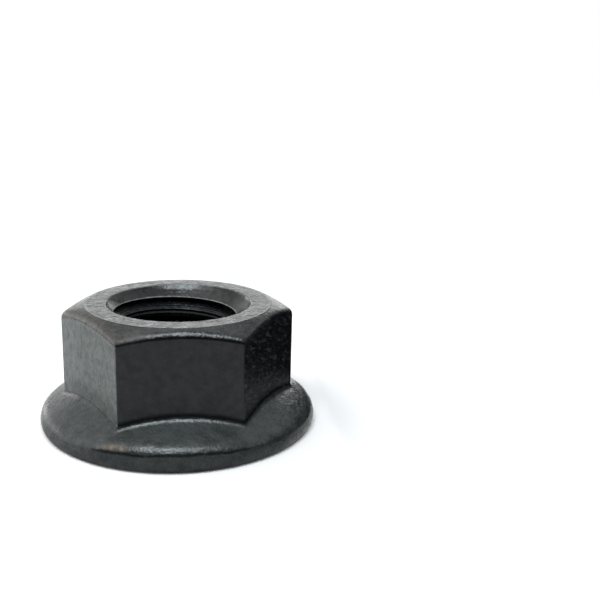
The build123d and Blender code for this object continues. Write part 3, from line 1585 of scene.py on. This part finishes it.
@dataclass(frozen=True)
class Lamp:
    """A soft lamp that looks at the nut.

    Attributes:
        name: The lamp's name.
        bearing: Direction it stands in, from +X.
        rise: Its height above the floor, as an angle.
        distance: How far away it stands.
        width: Its width.
        height: Its height.
        watts: Its power.
        colour: Its colour.
    """

    name: str
    bearing: float
    rise: float
    distance: float
    width: float
    height: float
    watts: float
    colour: tuple[float, float, float] = PLAIN_LIGHT

    def build(self) -> None:
        """Make the lamp."""
        data = bpy.data.lights.new(self.name, "AREA")
        data.shape = "RECTANGLE"
        data.size = self.width
        data.size_y = self.height
        data.energy = self.watts
        data.color = self.colour
        lamp = bpy.data.objects.new(self.name, data)
        level = cos(self.rise)
        away = Vector((cos(self.bearing) * level, sin(self.bearing) * level, sin(self.rise)))
        aim = away.to_track_quat("Z", "Y").to_matrix().to_4x4()
        lamp.matrix_world = Matrix.Translation(away * self.distance) @ aim
        bpy.context.scene.collection.objects.link(lamp)


@dataclass(frozen=True)
class Card:
    """A dark card that keeps white out of the nut's reflections. The camera doesn't see it.

    Attributes:
        name: The card's name.
        corners: Its corners.
    """

    name: str
    corners: tuple[tuple[float, float, float], ...]

    @classmethod
    def upright(cls, name: str, start: tuple[float, float], end: tuple[float, float], top: float) -> "Card":
        """Make a card that stands on the floor from start to end, that high."""
        return cls(name, ((*start, 0.0), (*end, 0.0), (*end, top), (*start, top)))

    def build(self, felt: bpy.types.Material) -> None:
        """Make the card.

        Args:
            felt: Its material.
        """
        mesh = bpy.data.meshes.new(self.name)
        mesh.from_pydata(self.corners, [], [tuple(range(len(self.corners)))])
        mesh.materials.append(felt)
        card = bpy.data.objects.new(self.name, mesh)
        card.visible_camera = False
        card.visible_shadow = False
        bpy.context.scene.collection.objects.link(card)


@dataclass(frozen=True)
class Studio:
    """A pale floor, a white background, soft lamps, and dark cards.

    The cards stand in front, close by on the right, and high up at the back right.

    Attributes:
        floor_size: Length of the floor's sides.
        floor_colour: Its colour.
        floor_glow: How bright it is by itself near the nut, where 1 is white.
        glow_reach: Distances from the axis between which that rises to white.
        shadow_reach: Distances from the axis between which it gains its full glow.
        shadow_glow: The share of its glow that it keeps under the nut, so that the shadow shows.
        fill: Light of the world on the nut.
        felt: Colour of the cards.
        lamps: The lamps.
        cards: The cards.
    """

    SEEN_BY = ("Is Camera Ray", "Is Glossy Ray", "Is Transmission Ray")

    floor_size: float = 8.0
    floor_colour: Colour = (0.545, 0.52, 0.512, 1)
    floor_glow: float = 0.30
    glow_reach: tuple[float, float] = (0.10, 0.60)
    shadow_reach: tuple[float, float] = (0.0132, 0.0200)
    shadow_glow: float = 0.35
    fill: float = 0.02
    felt: Colour = (0.004, 0.004, 0.006, 1)
    lamps: tuple[Lamp, ...] = (
        Lamp("left", radians(172), radians(14), 0.60, 0.55, 0.16, 2.1, WARM_LIGHT),
        Lamp("left_back", radians(130), radians(7), 0.60, 0.24, 0.12, 0.30, WARM_LIGHT),
        Lamp("back", radians(84), radians(13), 0.60, 0.45, 0.30, 0.8),
        Lamp("high_back", radians(90), radians(62), 0.60, 0.30, 0.30, 0.25),
        Lamp("left_top", radians(180), radians(66), 0.60, 0.50, 0.50, 0.78, WARM_LIGHT),
        Lamp("front", radians(-101), radians(59), 0.60, 0.44, 0.36, 6.5, COOL_LIGHT),
        Lamp("front_left", radians(-145), radians(50), 0.60, 0.30, 0.25, 0.5),
        Lamp("front_right", radians(-58), radians(50), 0.60, 0.30, 0.25, 0.5),
    )
    cards: tuple[Card, ...] = (
        Card(
            "right_card",
            (
                (0.0146, -0.024, 0.0011),
                (0.0146, 0.014, 0.0011),
                (0.0288, 0.018, 0.020),
                (0.0288, -0.024, 0.020),
            ),
        ),
        Card(
            "high_card",
            (
                (0.104, 0.246, 0.136),
                (0.165, 0.211, 0.136),
                (0.128, 0.164, 0.216),
                (0.081, 0.192, 0.216),
            ),
        ),
        Card.upright("front_card_left", (-0.60, -0.10), (-0.30, -0.50), 0.42),
        Card.upright("front_card", (-0.30, -0.50), (0.30, -0.50), 0.42),
        Card.upright("front_card_right", (0.30, -0.50), (0.60, -0.10), 0.42),
    )

    def build(self) -> None:
        """Make the floor, the world, the cards and the lamps."""
        self._floor()
        self._world()
        felt = self._matt("dark_felt", self.felt).material
        for card in self.cards:
            card.build(felt)
        for lamp in self.lamps:
            lamp.build()

    @staticmethod
    def _matt(name: str, colour: Colour) -> ShaderTree:
        """Start a material with no shine.

        Args:
            name: The material's name.
            colour: Its colour.

        Returns:
            The material's tree.
        """
        tree = ShaderTree(name)
        tree.shader.inputs["Base Color"].default_value = colour
        tree.shader.inputs["Roughness"].default_value = 1.0
        tree.shader.inputs["Specular IOR Level"].default_value = 0.0
        return tree

    def _seen(self, tree: NodeBuilder) -> Socket:
        """1 for rays from the camera, in reflections and through glass, and 0 for light on the nut."""
        path = tree.node("ShaderNodeLightPath").outputs
        return tree.maths("MAXIMUM", *(path[ray] for ray in self.SEEN_BY))

    def _floor(self) -> None:
        """Make the floor, which keeps the nut's shadow."""
        half = self.floor_size / 2
        mesh = bpy.data.meshes.new("floor")
        corners = [(-half, -half, 0), (half, -half, 0), (half, half, 0), (-half, half, 0)]
        mesh.from_pydata(corners, [], [(0, 1, 2, 3)])
        floor = bpy.data.objects.new("floor", mesh)
        bpy.context.scene.collection.objects.link(floor)
        tree = self._matt("pale_floor", self.floor_colour)
        away = tree.length(tree.node("ShaderNodeTexCoord").outputs["Object"])
        white = tree.ease(away, *self.glow_reach, self.floor_glow, 1.0)
        near = tree.ease(away, *self.shadow_reach, self.shadow_glow, 1.0)
        glow = tree.maths("MULTIPLY", self._seen(tree), white, near)
        tree.feed(tree.shader.inputs["Emission Color"], WHITE)
        tree.feed(tree.shader.inputs["Emission Strength"], glow)
        mesh.materials.append(tree.material)

    def _world(self) -> None:
        """Make the world: white where it is seen, and a plain fill elsewhere."""
        world = bpy.data.worlds.new("studio")
        world.use_nodes = True
        tree = NodeBuilder(world.node_tree)
        background = world.node_tree.nodes["Background"]
        sources = {"Value": self._seen(tree), "To Min": self.fill, "To Max": 1.0}
        tree.feed(background.inputs["Color"], WHITE)
        tree.feed(background.inputs["Strength"], tree.make("ShaderNodeMapRange", sources))
        bpy.context.scene.world = world


def main() -> None:
    """Build the nut, the camera and the studio."""
    logging.basicConfig(level=logging.INFO, format="%(name)s: %(message)s")
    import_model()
    bpy.context.scene.view_settings.view_transform = "Standard"
    nut = FlangeNut.from_frame()
    piece = nut.build(OxideFinish().material())
    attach(piece, BODY)
    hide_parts(NODE)
    triangles = sum(len(polygon.vertices) - 2 for polygon in piece.data.polygons)
    log.info("%s: %d triangles", piece.name, triangles)
    Viewpoint().build()
    Studio().build()


if __name__ == "__main__":
    main()
